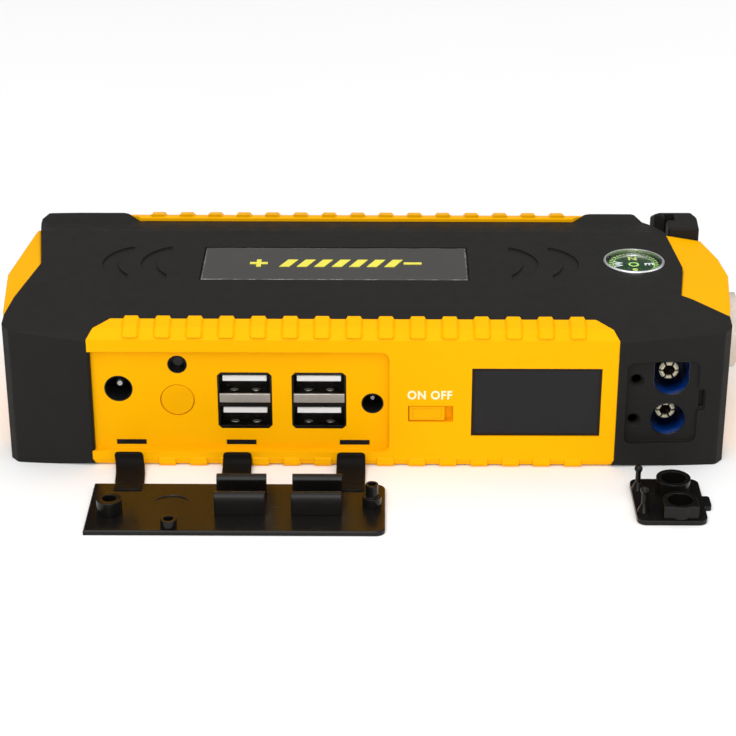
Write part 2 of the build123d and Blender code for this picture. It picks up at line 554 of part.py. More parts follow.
def status_light():
    """Smoked charging light at the bottom of its round hole, and the black sleeve of the hole."""
    lamp = rod_y(LIGHT_X, LIGHT_Z, 1.3, PANEL_BACK - 0.3, BOARD_Y)
    write("status_light", lamp + rod_y(LIGHT_X, LIGHT_Z, LIGHT_R, PANEL_BACK + 0.2, PANEL_BACK + 1.2))
    sleeve = rod_y(LIGHT_X, LIGHT_Z, LIGHT_R - 0.05, RECESS_Y, PANEL_BACK + 0.2)
    write("light_sleeve", sleeve - rod_y(LIGHT_X, LIGHT_Z, LIGHT_R - SLEEVE_T, -45, -30))


# ---- power socket -------------------------------------------------------------------------
PIN_R, PIN_TIP_DEPTH, PIN_BACK = 2.45, 5.0, -19.0


def power_socket():
    """Blue high-current socket: a housing with two barrels, each with a split brass pin."""
    front = SOCK_FLOOR_Y + 0.05
    x_mid = sum(x for x, _ in BARRELS) / 2
    housing = block(x_mid - 5.6, x_mid + 5.6, -CAVITY_Y + 0.05, HOUSING_BACK, 7.4, 30.4)
    for x, z in BARRELS:
        collar = rod_y(x, z, BARREL_R - 0.05, front, -CAVITY_Y + 0.1)
        housing += collar
    upper_x, upper_z = BARRELS[1]
    housing += block(upper_x - BARREL_R + 0.05, upper_x + BARREL_R - 0.05, front, -CAVITY_Y + 0.1,
                     upper_z, SOCK_Z1 - 0.35)
    for x, z in BARRELS:
        housing -= rod_y(x, z, BARREL_R - 0.35, -45, HOUSING_BACK - 2.0)
        housing -= rod_y(x, z, PIN_R, -45, HOUSING_BACK + 1)
    housing -= block(upper_x - BARREL_R + 0.35, upper_x + BARREL_R - 0.35, -45, HOUSING_BACK - 2.0,
                     upper_z, SOCK_Z1 - 0.65)
    write("socket_housing", housing)
    pins = []
    for x, z in BARRELS:
        tip = SOCK_FLOOR_Y + PIN_TIP_DEPTH
        pin = rod_y(x, z, PIN_R, tip, PIN_BACK)
        pin = chamfer(pin.faces().sort_by(Axis.Y)[0].edges(), 0.5)
        pin -= rod_y(x, z, PIN_R - 1.0, tip - 1, tip + 8.0)
        for angle in (0, 60, 120):
            slit = Pos(x, tip + 3.5, z) * Rot(0, angle, 0) * Box(2 * PIN_R + 1, 7.2, 0.5)
            pin -= slit
        pins.append(pin)
    write("socket_pins", *pins)


# ---- inside -------------------------------------------------------------------------------
CELL_X0, CELL_X1, CELL_Y0, CELL_Y1 = -68.0, 50.0, -13.0, 29.0
CELL_T, CELL_GAP, CELL_Z0, CELL_COUNT = 8.0, 0.8, 4.4, 3


def battery():
    """Three pouch cells with foam between them, their tabs and the protection board."""
    cells, pads, tabs = [], [], []
    for index in range(CELL_COUNT):
        z = CELL_Z0 + index * (CELL_T + CELL_GAP)
        cell = block(CELL_X0, CELL_X1, CELL_Y0, CELL_Y1, z, z + CELL_T)
        cells.append(fillet(cell.edges().filter_by(Axis.X), 1.5))
        pads.append(block(CELL_X0 + 4, CELL_X1 - 4, CELL_Y0 + 4, CELL_Y1 - 4, z - CELL_GAP, z))
        for y in (-4.0, 20.0):
            mid = z + CELL_T / 2
            tabs.append(block(CELL_X1, CELL_X1 + 4.6, y - 5, y + 5, mid - 0.15, mid + 0.15))
    write("battery_cells", *cells)
    write("cell_pads", *pads)
    write("cell_tabs", *tabs)
    write("battery_board", block(CELL_X1 + 4.6, CELL_X1 + 6.2, CELL_Y0, 24.5, 5.0, 31.0))


def boards():
    """Main board behind the ports, the links to the battery and the socket's copper bars."""
    write("main_board", block(-66.0, 60.0, BOARD_Y, BOARD_Y + 1.6, 4.0, 33.0))
    x0 = CELL_X1 + 4.8
    links = [block(x0, x0 + 1.2, BOARD_Y + 1.6, CELL_Y0, z, z + 2.0) for z in (10.0, 14.0, 18.0)]
    write("board_links", *links)
    bars = []
    for x, z in BARRELS:
        bar = block(CELL_X1 + 6.2, x + 2, CELL_Y0 + 1, CELL_Y0 + 3, z - 1.3, z + 1.3)
        bar += block(x - 2, x + 2, PIN_BACK, CELL_Y0 + 3, z - 1.3, z + 1.3)
        bars.append(bar)
    write("copper_bars", *bars)


# ---- rubber covers, lying open --------------------------------------------------------------
def on_cover(fold, z):
    """Where a port at height z meets the open cover, in front of the pack."""
    return fold - z


def port_cover():
    """Rubber plate over the ports, its plugs and the three straps that hold it."""
    x0, x1, z0, z1 = PORT_COVER
    near, far = on_cover(PORT_FOLD, z1), on_cover(PORT_FOLD, z0)
    plate = block(x0, x1, near, far, 0, COVER_T)
    right = [edge for edge in plate.edges().filter_by(Axis.Z) if edge.center().X > 0]
    plate = fillet(right, 2.2)
    rim = [edge for edge in plate.faces().sort_by(Axis.Z)[-1].edges()]
    plate = chamfer(rim, 0.25)
    write("port_cover", plate)
    write("port_cover_plugs", *port_plugs())
    write("port_cover_straps", *[port_strap(x, far) for x in STRAP_X])


BAR_W, BAR_T, BAR_H = 12.0, 2.7, 5.6


def port_plugs():
    """Rubber plugs that stand on the open port cover."""
    plugs = []
    for x in USB_X:
        for z0, z1 in USB_MOUTHS:
            y = on_cover(PORT_FOLD, (z0 + z1 - TONGUE_DROP - TONGUE_T - CONTACT_T) / 2)
            bar = block(x - BAR_W / 2, x + BAR_W / 2, y - BAR_T / 2, y + BAR_T / 2, COVER_T,
                        COVER_T + BAR_H)
            top = bar.faces().sort_by(Axis.Z)[-1].edges().filter_by(Axis.X)
            plugs.append(fillet(top, BAR_T * 0.45))
    y = on_cover(PORT_FOLD, DC_IN_Z)
    plugs.append(rod_z(DC_IN_X, y, DC_IN_R - 0.45, COVER_T, COVER_T + 3.6)
                 - rod_z(DC_IN_X, y, 1.7, COVER_T, COVER_T + 6))
    y = on_cover(PORT_FOLD, DC_OUT_Z)
    plugs.append(rod_z(DC_OUT_X, y, DC_OUT_R - 0.45, COVER_T, COVER_T + 2.4)
                 + rod_z(DC_OUT_X, y, 1.5, COVER_T + 2.4, COVER_T + 5.6)
                 - rod_z(DC_OUT_X, y, 1.0, COVER_T + 2.9, COVER_T + 6))
    y = on_cover(PORT_FOLD, LIGHT_Z)
    plugs.append(rod_z(LIGHT_X, y, LIGHT_R - 0.45, COVER_T, COVER_T + 1.9)
                 - rod_z(LIGHT_X, y, LIGHT_R - 1.2, COVER_T + 0.4, COVER_T + 3))
    return plugs


STRAP_TOP_Z = 4.0


def port_strap(x, far):
    """One strap: flat against the panel's foot, bent, then flat on the ground to the plate."""
    x0, x1 = x - STRAP_W / 2, x + STRAP_W / 2
    wall, t = FRONT, STRAP_T
    section = [(wall, STRAP_TOP_Z), (wall, 2.6), (wall - 2.8, 0.0), (far, 0.0), (far, t),
               (wall - 3.4, t), (wall - t, 3.3), (wall - t, STRAP_TOP_Z)]
    return prism_x(section, x0, x1)


def socket_cover():
    """Rubber lid of the power socket with its ring plugs and its two pull-through tails."""
    x0, x1, z0, z1 = SOCK_COVER
    near, far = on_cover(SOCK_FOLD, z1), on_cover(SOCK_FOLD, z0)
    plate = soften(block(x0, x1, near, far, 0, COVER_T), Axis.Z, 2.2)
    tab = block(x1 - 2, x1 + 1.7, on_cover(SOCK_FOLD, 20.7), on_cover(SOCK_FOLD, 15.5), 0, COVER_T)
    plate += soften(tab, Axis.Z, 0.7)
    write("socket_cover", plate)
    rings = []
    for (x, z), square in zip(BARRELS, (False, True)):
        y = on_cover(SOCK_FOLD, z)
        outer_r, inner_r, height = BARREL_R - 0.45, 3.0, 3.4
        ring = rod_z(x, y, outer_r, COVER_T, COVER_T + height)
        if square:
            ring += block(x - outer_r, x + outer_r, y - outer_r + 0.5, y, COVER_T, COVER_T + height)
        rings.append(ring - rod_z(x, y, inner_r, COVER_T, COVER_T + height + 1))
    write("socket_cover_plugs", *rings)
    tails = []
    for x, z in TAIL_HOLES:
        y = on_cover(SOCK_FOLD, z)
        cone = Pos(x, y, COVER_T + 1.0) * Cone(1.6, 0.7, 2.0)
        stem = rod_z(x, y, 0.65, COVER_T + 1.9, COVER_T + 5.6)
        tails.append(cone + stem + Pos(x, y, COVER_T + 5.6) * Sphere(1.0))
    write("socket_cover_tails", *tails)


def build():
    os.makedirs("parts", exist_ok=True)
    case_shells()
    case_screws()
    front_panel()
    slot_liners()
    write("back_panel", side_panel(1))
    end_panel_left()
    end_panel_right()
    name_plate()
    compass()
    belt_cutter()
    torch()
    usb_sockets()
    round_socket("charge_socket", "charge_socket_pin", DC_IN_X, DC_IN_Z, DC_IN_R, 1.1, 1.05)
    round_socket("output_socket", "output_socket_pin", DC_OUT_X, DC_OUT_Z, DC_OUT_R, 1.1, 0.8)
    round_button()
    power_switch()
    display()
    status_light()
    power_socket()
    battery()
    boards()
    port_cover()
    socket_cover()


build()
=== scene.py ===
# Looks of a jump starter pack, laid out as an add-on: each operator finishes one group of pieces.
import json
import math

import bpy
import numpy as np
from bpy.props import (BoolProperty, FloatProperty, FloatVectorProperty, IntProperty,
                       PointerProperty)
from bpy.types import Operator, Panel, PropertyGroup
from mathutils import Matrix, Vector


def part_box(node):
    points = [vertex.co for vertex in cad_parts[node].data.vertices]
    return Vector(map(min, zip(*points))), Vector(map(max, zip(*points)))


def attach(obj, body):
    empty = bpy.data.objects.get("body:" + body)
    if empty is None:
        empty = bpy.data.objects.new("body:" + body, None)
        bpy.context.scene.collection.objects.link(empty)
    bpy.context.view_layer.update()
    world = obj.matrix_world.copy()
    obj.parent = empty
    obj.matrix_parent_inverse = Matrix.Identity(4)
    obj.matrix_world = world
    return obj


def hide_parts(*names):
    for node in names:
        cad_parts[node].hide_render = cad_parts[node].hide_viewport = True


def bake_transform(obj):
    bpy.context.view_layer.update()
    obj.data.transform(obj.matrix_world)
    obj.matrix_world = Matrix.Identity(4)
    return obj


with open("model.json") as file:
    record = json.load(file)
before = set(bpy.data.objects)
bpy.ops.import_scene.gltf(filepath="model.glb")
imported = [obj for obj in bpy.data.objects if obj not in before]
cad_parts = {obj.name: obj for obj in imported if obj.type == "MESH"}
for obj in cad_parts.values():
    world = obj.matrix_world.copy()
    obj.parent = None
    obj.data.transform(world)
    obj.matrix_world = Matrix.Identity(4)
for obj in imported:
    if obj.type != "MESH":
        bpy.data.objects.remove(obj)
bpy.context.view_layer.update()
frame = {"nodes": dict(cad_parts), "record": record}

bl_info = {
    "name": "Jump starter looks",
    "version": (1, 0, 0),
    "blender": (4, 5, 0),
    "location": "View3D > Sidebar > Pack",
    "description": "Finishes, rubber straps, lettering and the studio of a car jump starter",
    "category": "Object",
}

MM = 0.001
PANEL_FACE = -39.0 * MM     # the front panel's outer face, along Y


# ---- settings ---------------------------------------------------------------------------------
class PackShellSettings(PropertyGroup):
    """Colours and textures of the case."""
    black: FloatVectorProperty(
        name="Case black", description="Soft-touch plastic of the two shells",
        subtype="COLOR", size=3, min=0, max=1, default=(0.0172, 0.0165, 0.0152))
    yellow: FloatVectorProperty(
        name="Panel yellow", description="Moulded plastic of the panels",
        subtype="COLOR", size=3, min=0, max=1, default=(1.0, 0.465, 0.0))
    grain: FloatProperty(
        name="Grain size", description="Width of one dimple of the moulded grain",
        subtype="DISTANCE", default=0.55 * MM, min=0.1 * MM, max=5 * MM)
    edge_round: FloatProperty(
        name="Edge rounding", description="Radius that the moulded edges catch light with",
        subtype="DISTANCE", default=0.3 * MM, min=0.0, max=2 * MM)


class PackRubberSettings(PropertyGroup):
    """Rubber covers and straps."""
    rubber: FloatVectorProperty(
        name="Rubber black", description="Moulded rubber of both covers",
        subtype="COLOR", size=3, min=0, max=1, default=(0.0065, 0.0058, 0.005))
    strap_edge: FloatProperty(
        name="Strap edge", description="Rounding of a strap's long edges",
        subtype="DISTANCE", default=0.35 * MM, min=0.05 * MM, max=0.6 * MM)
    strap_steps: IntProperty(
        name="Strap steps", description="Rings along one strap", default=72, min=16, max=200)


class PackMarkSettings(PropertyGroup):
    """Printing on the switch and on the compass card."""
    letter_height: FloatProperty(
        name="Switch letters", description="Height of the words over the slide switch",
        subtype="DISTANCE", default=2.35 * MM, min=0.5 * MM, max=6 * MM)
    dial_letters: BoolProperty(
        name="Dial letters", description="Print the four compass points", default=True)


class PackStudioSettings(PropertyGroup):
    """Camera and light."""
    lens: FloatProperty(name="Lens", description="Focal length", unit="CAMERA", default=104.458)
    pitch: FloatProperty(
        name="Pitch", description="How far the camera looks down", subtype="ANGLE",
        default=math.radians(25.619))
    yaw: FloatProperty(
        name="Yaw", description="How far the camera turns to the left", subtype="ANGLE",
        default=math.radians(0.428))
    place: FloatVectorProperty(
        name="Camera place", description="Where the camera stands", subtype="TRANSLATION",
        size=3, default=(3.910 * MM, -507.555 * MM, 251.876 * MM))
    sky: FloatProperty(
        name="Sky", description="Strength of the light from straight above", default=1.3, min=0)
    horizon: FloatProperty(
        name="Horizon", description="Strength of the light from low down", default=0.15, min=0)
    key: FloatProperty(
        name="Key light", description="Power of the large front light", unit="POWER", default=4.9)
    front: FloatProperty(
        name="Front light", description="Power of the low light that fills the recesses",
        unit="POWER", default=4.6)


# ---- shader helpers ---------------------------------------------------------------------------
FLOAT, RGBA, VECTOR = "NodeSocketFloat", "NodeSocketColor", "NodeSocketVector"
MIX_FIRST, MIX_SECOND, MIX_RESULT = 6, 7, 2     # the colour sockets of a Mix node, by number
GROUPS = {}


def opaque(rgb):
    """Colour with full alpha."""
    return tuple(rgb) + (1.0,)


class Nodes:
    """A node tree, with short calls that add a node, feed it and give back its output."""

    def __init__(self, tree):
        self.tree = tree

    def feed(self, socket, value):
        """Join the socket to value where that is an output, or else set it as a constant."""
        if isinstance(value, bpy.types.NodeSocket):
            self.tree.links.new(value, socket)
        else:
            socket.default_value = value

    def feed_all(self, sockets, **values):
        """Feed several sockets by name."""
        for name, value in values.items():
            self.feed(sockets[name.replace("_", " ")], value)

    def add(self, kind, **values):
        """New node; each value feeds the socket of that name, or else sets the property."""
        node = self.tree.nodes.new(kind)
        for name, value in values.items():
            socket = node.inputs.get(name.replace("_", " "))
            if socket is None:
                setattr(node, name, value)
            else:
                self.feed(socket, value)
        return node

    def place(self):
        """The piece's own coordinates."""
        return self.add("ShaderNodeTexCoord").outputs["Object"]

    def place_from(self, centre):
        """The piece's own coordinates, counted from a centre."""
        shift = [-axis for axis in centre]
        return self.add("ShaderNodeMapping", Vector=self.place(), Location=shift).outputs["Vector"]

    def parts(self, vector):
        """The three numbers of a vector."""
        return tuple(self.add("ShaderNodeSeparateXYZ", Vector=vector).outputs)

    def noise(self, vector, scale, detail, **values):
        """Cloudy noise over a place, from 0 to 1."""
        return self.add("ShaderNodeTexNoise", Vector=vector, Scale=scale, Detail=detail,
                        **values).outputs["Fac"]

    def calc(self, operation, *inputs, kind="ShaderNodeMath"):
        """Result of one operation on numbers or sockets."""
        node = self.add(kind, operation=operation)
        for socket, value in zip(node.inputs, inputs):
            self.feed(socket, value)
        return node.outputs["Value"]

    def span(self, value, low, high, start=0.0, end=1.0):
        """Number that goes from start to end while value goes from low to high, and stops there."""
        return self.add("ShaderNodeMapRange", clamp=True, Value=value, From_Min=low, From_Max=high,
                        To_Min=start, To_Max=end).outputs["Result"]

    def mix(self, share, first, second, blend_type="MIX"):
        """Colour that goes from first to second while share goes from 0 to 1."""
        node = self.add("ShaderNodeMix", data_type="RGBA", blend_type=blend_type, Factor=share)
        self.feed(node.inputs[MIX_FIRST], first)
        self.feed(node.inputs[MIX_SECOND], second)
        return node.outputs[MIX_RESULT]

    def band(self, value, low, high):
        """1 where value lies between low and high, and 0 elsewhere."""
        return self.calc("MULTIPLY", self.calc("GREATER_THAN", value, low),
                         self.calc("LESS_THAN", value, high))

    def by_depth(self, start, end):
        """0 at the place start along Y, and 1 at the place end."""
        return self.span(self.parts(self.place())[1], start, end)


class Shader(Nodes):
    """A material's node tree round its Principled node."""

    def __init__(self, name):
        self.material = bpy.data.materials.new(name)
        self.material.use_nodes = True
        super().__init__(self.material.node_tree)

    def set(self, **values):
        """Feed the Principled node by name, and give back the material."""
        self.feed_all(self.tree.nodes["Principled BSDF"].inputs, **values)
        return self.material

    def cover(self, maker, **values):
        """Place the shared group that maker builds, feed it by name and join it."""
        if maker not in GROUPS:
            GROUPS[maker] = maker()
        node = self.add("ShaderNodeGroup", node_tree=GROUPS[maker])
        self.feed_all(node.inputs, **values)
        return self.set(Base_Color=node.outputs["Colour"], Roughness=node.outputs["Roughness"],
                        Normal=node.outputs["Normal"])

    def moulded(self, base, wear_and_highlight_colour, rough=0.5, grain=0.55 * MM, depth=0.1, edge=0.3 * MM, wear_and_highlight_share=0.3,
                mottle=0.12, specular=0.5):
        """Moulded finish; base is an opaque colour or a socket."""
        self.set(Specular_IOR_Level=specular)
        return self.cover(moulded_group, Base=base, Worn=opaque(wear_and_highlight_colour), Grain_size=grain,
                          Grain_depth=depth, Edge_round=edge, Wear=wear_and_highlight_share, Mottle=mottle,
                          Roughness=rough)


def new_group(name, inputs):
    """Empty node group for a finish: its nodes, the sockets it is given and those it fills."""
    tree = bpy.data.node_groups.new(name, "ShaderNodeTree")
    for label, kind, value in inputs:
        tree.interface.new_socket(label, in_out="INPUT", socket_type=kind).default_value = value
    for label, kind in (("Colour", RGBA), ("Roughness", FLOAT), ("Normal", VECTOR)):
        tree.interface.new_socket(label, in_out="OUTPUT", socket_type=kind)
    group = Nodes(tree)
    return group, group.add("NodeGroupInput").outputs, group.add("NodeGroupOutput").inputs


def moulded_group():
    """Moulded plastic: uneven colour, lighter edges, a bumpy grain and uneven roughness.

    The edge colour, wear on most finishes and a painted highlight on the name plate, compares the
    true normal with the rounded one, so it shows only along corners.
    """
    group, given, filled = new_group("Moulded plastic", [
        ("Base", RGBA, (0.5, 0.5, 0.5, 1)), ("Worn", RGBA, (0.6, 0.6, 0.6, 1)),
        ("Grain size", FLOAT, 0.5 * MM), ("Grain depth", FLOAT, 0.1),
        ("Edge round", FLOAT, 0.3 * MM), ("Wear", FLOAT, 0.3), ("Mottle", FLOAT, 0.1),
        ("Roughness", FLOAT, 0.5)])
    place = group.place()
    grain = group.add("ShaderNodeTexVoronoi", feature="SMOOTH_F1", Smoothness=0.6, Vector=place,
                      Scale=group.calc("DIVIDE", 1.0, given["Grain size"]))
    cloud = group.noise(place, 38.0, 4.0, Roughness=0.62)
    smear = group.noise(place, 260.0, 3.0, Roughness=0.6)
    # edge colour, wear and on the name plate a painted highlight: where the rounded normal leaves the
    # true one, broken up by the smears
    edge = group.add("ShaderNodeBevel", samples=6, Radius=given["Edge round"]).outputs["Normal"]
    true = group.add("ShaderNodeNewGeometry").outputs["True Normal"]
    bend = group.calc("DOT_PRODUCT", edge, true, kind="ShaderNodeVectorMath")
    patches = group.calc("MULTIPLY", group.span(bend, 0.985, 0.80),
                         group.span(smear, 0.42, 0.62, 0.15, 1.0))
    wear_and_highlight_share = group.calc("MULTIPLY", patches, given["Wear"])
    # colour: the base darkened in clouds, then given the edge colour along the edges (wear, and a
    # painted highlight on the name plate)
    amount = group.calc("MULTIPLY", group.span(cloud, 0.35, 0.65), given["Mottle"])
    mottled = group.mix(amount, given["Base"], (0.55, 0.52, 0.50, 1), blend_type="MULTIPLY")
    group.feed(filled["Colour"], group.mix(wear_and_highlight_share, mottled, given["Worn"]))
    # roughness: smears of handling
    group.feed(filled["Roughness"], group.calc("ADD", group.span(smear, 0.3, 0.7, -0.05, 0.06),
                                               given["Roughness"]))
    bump = group.add("ShaderNodeBump", Distance=0.08 * MM, Strength=given["Grain depth"],
                     Height=grain.outputs["Distance"], Normal=edge)
    group.feed(filled["Normal"], bump.outputs["Normal"])
    return group.tree


def metal_group():
    """Worked metal: fine lines along one axis, and a little dulling in patches."""
    group, given, filled = new_group("Worked metal", [
        ("Base", RGBA, (0.7, 0.7, 0.7, 1)), ("Dull", RGBA, (0.5, 0.5, 0.5, 1)),
        ("Roughness", FLOAT, 0.25), ("Line depth", FLOAT, 0.1), ("Edge round", FLOAT, 0.15 * MM)])
    place = group.place()
    stretch = group.add("ShaderNodeMapping", Vector=place, Scale=(1.0, 0.06, 1.0))
    lines = group.noise(stretch.outputs["Vector"], 5200.0, 2.0)
    cloud = group.noise(place, 420.0, 4.0)
    edge = group.add("ShaderNodeBevel", samples=4, Radius=given["Edge round"]).outputs["Normal"]
    bump = group.add("ShaderNodeBump", Distance=0.03 * MM, Strength=given["Line depth"],
                     Height=lines, Normal=edge)
    group.feed(filled["Colour"], group.mix(cloud, given["Base"], given["Dull"]))
    group.feed(filled["Roughness"], group.calc("ADD", group.span(cloud, 0.3, 0.7, -0.06, 0.1),
                                               given["Roughness"]))
    group.feed(filled["Normal"], bump.outputs["Normal"])
    return group.tree


def moulded(name, base, wear_and_highlight_colour, **values):
    """Plastic, rubber or ink of one colour."""
    return Shader(name).moulded(opaque(base), wear_and_highlight_colour, **values)


def metal(name, base, dull, rough, lines):
    """Metal finish with fine lines."""
    shader = Shader(name)
    shader.set(Metallic=1.0)
    return shader.cover(metal_group, Base=opaque(base), Dull=opaque(dull), Roughness=rough,
                        Line_depth=lines, Edge_round=0.12 * MM)


# ---- mesh helpers -----------------------------------------------------------------------------
def smooth_mesh(name, vertices, faces):
    """Mesh from an array of places and a list of faces, shaded smooth."""
    mesh = bpy.data.meshes.new(name)
    mesh.from_pydata(vertices.tolist(), [], faces)
    mesh.polygons.foreach_set("use_smooth", np.ones(len(mesh.polygons), bool))
    mesh.update()
    return mesh


def grid_faces(rings, around):
    """Quads of an open tube: each joins two neighbours on one ring to those on the next ring."""
    ring, step = np.meshgrid(np.arange(rings - 1), np.arange(around), indexing="ij")
    after = (step + 1) % around
    quads = np.stack([ring * around + step, ring * around + after,
                      (ring + 1) * around + after, (ring + 1) * around + step], -1)
    return quads.reshape(-1, 4)


def tube_mesh(name, points):
    """Mesh of a closed tube from an array (rings, around, 3), with flat caps at both ends."""
    rings, around, _ = points.shape
    faces = grid_faces(rings, around).tolist()
    faces.append(list(range(around - 1, -1, -1)))
    faces.append([(rings - 1) * around + index for index in range(around)])
    return smooth_mesh(name, points.reshape(-1, 3), faces)


def join_meshes(name, meshes):
    """One mesh from several, with their vertices and faces side by side."""
    vertices, faces, start = [], [], 0
    for mesh in meshes:
        vertices.append(vertex_array(mesh))
        faces += [[start + index for index in polygon.vertices] for polygon in mesh.polygons]
        start += len(mesh.vertices)
        bpy.data.meshes.remove(mesh)
    return smooth_mesh(name, np.concatenate(vertices), faces)


def new_piece(name, mesh, material):
    """Object at the origin with one material."""
    piece = bpy.data.objects.new(name, mesh)
    bpy.context.scene.collection.objects.link(piece)
    mesh.materials.append(material)
    return piece


def rounded_profile(radius, around=40):
    """Rounded square of side 1, as points across and up, from a superellipse.

    At angle a they are half the signed power 2 / 2.2p of cos a and half the signed power 2 / p
    of sin a, where p is 1.24 / radius, but at least 2.2: a small radius makes sharp corners.
    """
    power = max(2.2, 1.24 / radius)
    angle = np.linspace(0, 2 * math.pi, around, endpoint=False)
    c, s = np.cos(angle), np.sin(angle)
    across = np.sign(c) * np.abs(c) ** (2 / (power * 2.2)) / 2
    up = np.sign(s) * np.abs(s) ** (2 / power) / 2
    return across, up


def bezier(points, steps):
    """Cubic curve over four control points: places and unit directions at even parameters.

    At t the place is the sum of the points times (1-t)^3, 3 (1-t)^2 t, 3 (1-t) t^2 and t^3, and
    the direction is that sum's slope.
    """
    t = np.linspace(0, 1, steps)[:, None]
    p0, p1, p2, p3 = [np.array(point, float) for point in points]
    place = (1 - t) ** 3 * p0 + 3 * (1 - t) ** 2 * t * p1 + 3 * (1 - t) * t ** 2 * p2 + t ** 3 * p3
    along = 3 * (1 - t) ** 2 * (p1 - p0) + 6 * (1 - t) * t * (p2 - p1) + 3 * t ** 2 * (p3 - p2)
    return place, along / np.linalg.norm(along, axis=1, keepdims=True)


def vertex_array(mesh):
    """All vertex places as one array."""
    place = np.empty(len(mesh.vertices) * 3)
    mesh.vertices.foreach_get("co", place)
    return place.reshape(-1, 3)


def place_vertices(mesh, place):
    """Move every vertex to its place in the array."""
    mesh.vertices.foreach_set("co", place.ravel())
    mesh.update()


def letters_mesh(name, text, height, depth):
    """Flat lettering as a mesh, its lower left corner at zero, facing +Z."""
    curve = bpy.data.curves.new(name, "FONT")
    curve.body = text
    curve.size = 1.0
    curve.extrude = 0.5
    curve.offset = 0.028            # thickens the strokes
    curve.space_character = 1.12
    maker = bpy.data.objects.new(name + "_maker", curve)
    bpy.context.scene.collection.objects.link(maker)
    mesh = bpy.data.meshes.new_from_object(maker)
    bpy.data.objects.remove(maker)
    bpy.data.curves.remove(curve)
    mesh.name = name
    place = vertex_array(mesh)
    place -= place.min(0)
    size = place.max(0)
    place *= np.array([height / size[1], height / size[1], depth / size[2]])
    place_vertices(mesh, place)
    return mesh


# ---- finishes ---------------------------------------------------------------------------------
def finish_nodes(finishes):
    """Give each CAD node whose record slot is in finishes its material."""
    slot_of = {row["node"]: row["material_slot"] for row in frame["record"]["subparts"]}
    for name, node in frame["nodes"].items():
        material = finishes.get(slot_of.get(name))
        if material is None:
            continue
        if not node.material_slots:
            node.data.materials.append(material)
        for slot in node.material_slots:
            slot.material = material


def soft_black(shell):
    """Soft-touch black of the two shells."""
    return moulded("black_soft_touch", shell.black, (0.045, 0.042, 0.038), rough=0.50,
                   grain=shell.grain, depth=0.12, edge=shell.edge_round, wear_and_highlight_share=0.30, mottle=0.18,
                   specular=0.07)


def yellow_plastic(shell, name="yellow_moulded", gain=1.0):
    """Yellow of the panels and the button, with its brightness scaled by gain."""
    return moulded(name, [channel * gain for channel in shell.yellow], (1.0, 0.60, 0.02),
                   rough=0.42, grain=shell.grain, depth=0.06, edge=shell.edge_round, wear_and_highlight_share=0.25,
                   mottle=0.05, specular=0.04)


def rubber(covers, name="black_rubber", rough=0.22, specular=0.24):
    """Moulded rubber of the covers, or duller rubber of the straps."""
    return moulded(name, covers.rubber, (0.03, 0.028, 0.025), rough=rough, grain=0.9 * MM,
                   depth=0.02, edge=0.35 * MM, wear_and_highlight_share=0.3, mottle=0.25, specular=specular)


def printed_ink(name, rgb):
    """Screen-printed ink with slightly uneven cover."""
    return moulded(name, rgb, rgb, rough=0.45, grain=0.3 * MM, depth=0.05, edge=0.02 * MM,
                   wear_and_highlight_share=0.0, mottle=0.10, specular=0.3)


def clear_dome():
    """Clear moulded dome with faint haze in its roughness."""
    shader = Shader("clear_dome")
    haze = shader.noise(shader.place(), 160.0, 3.0)
    return shader.set(Base_Color=(0.99, 1.0, 0.99, 1), Transmission_Weight=1.0, IOR=1.12,
                      Roughness=shader.span(haze, 0.35, 0.7, 0.0, 0.05))


def display_glass():
    """Dark window: near-black glass, with a brown-black printed border along its four edges.

    The glass shows where the place is farther from every edge than the border is wide.
    """
    low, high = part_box("display_window")
    border = 0.75 * MM
    shader = Shader("display_glass")
    place = shader.place()
    across, _, up = shader.parts(place)
    inside = shader.calc("MULTIPLY", shader.band(across, low.x + border, high.x - border),
                         shader.band(up, low.z + border, high.z - border))
    glass = shader.mix(shader.noise(place, 55.0, 3.0), (0.008, 0.008, 0.0095, 1),
                       (0.013, 0.013, 0.015, 1))
    smear = shader.noise(place, 210.0, 4.0, Distortion=0.8)
    return shader.set(Base_Color=shader.mix(inside, (0.011, 0.004, 0.001, 1), glass),
                      Roughness=shader.span(smear, 0.4, 0.7, 0.06, 0.14),
                      Specular_IOR_Level=0.2)


def dial_print(centre, radius):
    """Printed compass card: green field, pale degree ticks and two rings, read from the centre.

    At angle a round the centre a tick shows where the cosine of 36 a is over 0.35.
    """
    shader = Shader("compass_dial")
    across, along, _ = shader.parts(shader.place_from(centre))
    flat = shader.add("ShaderNodeCombineXYZ", X=across, Y=along).outputs["Vector"]
    reach = shader.calc("LENGTH", flat, kind="ShaderNodeVectorMath")
    wave = shader.calc("COSINE", shader.calc("MULTIPLY", shader.calc("ARCTAN2", along, across), 36.0))
    ticks = shader.calc("MULTIPLY", shader.calc("GREATER_THAN", wave, 0.35),
                        shader.band(reach, radius * 0.84, radius * 0.97))
    line = shader.band(reach, radius * 0.79, radius * 0.82)
    hub = shader.band(reach, radius * 0.14, radius * 0.21)
    marks = shader.calc("MAXIMUM", shader.calc("MAXIMUM", ticks, line), hub)
    green = shader.mix(shader.noise(shader.place(), 700.0, 2.0), (0.002, 0.020, 0.004, 1),
                       (0.004, 0.070, 0.012, 1))
    return shader.set(Base_Color=shader.mix(marks, green, (0.55, 0.95, 0.22, 1)), Roughness=0.4,
                      Specular_IOR_Level=0.08)


def ringed_lens():
    """Milky torch lens with concentric focusing rings round the X axis."""
    low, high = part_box("torch_lens")
    shader = Shader("clear_lens")
    rings = shader.add("ShaderNodeTexWave", wave_type="RINGS", rings_direction="X", Scale=180.0,
                       Vector=shader.place_from((low + high) / 2))
    relief = shader.add("ShaderNodeBump", Strength=0.35, Distance=0.2 * MM,
                        Height=rings.outputs["Fac"])
    haze = shader.noise(shader.place(), 90.0, 3.0)
    return shader.set(Base_Color=(0.99, 0.99, 0.98, 1), Transmission_Weight=0.45, IOR=1.45,
                      Roughness=shader.span(haze, 0.3, 0.7, 0.05, 0.16),
                      Normal=relief.outputs["Normal"])


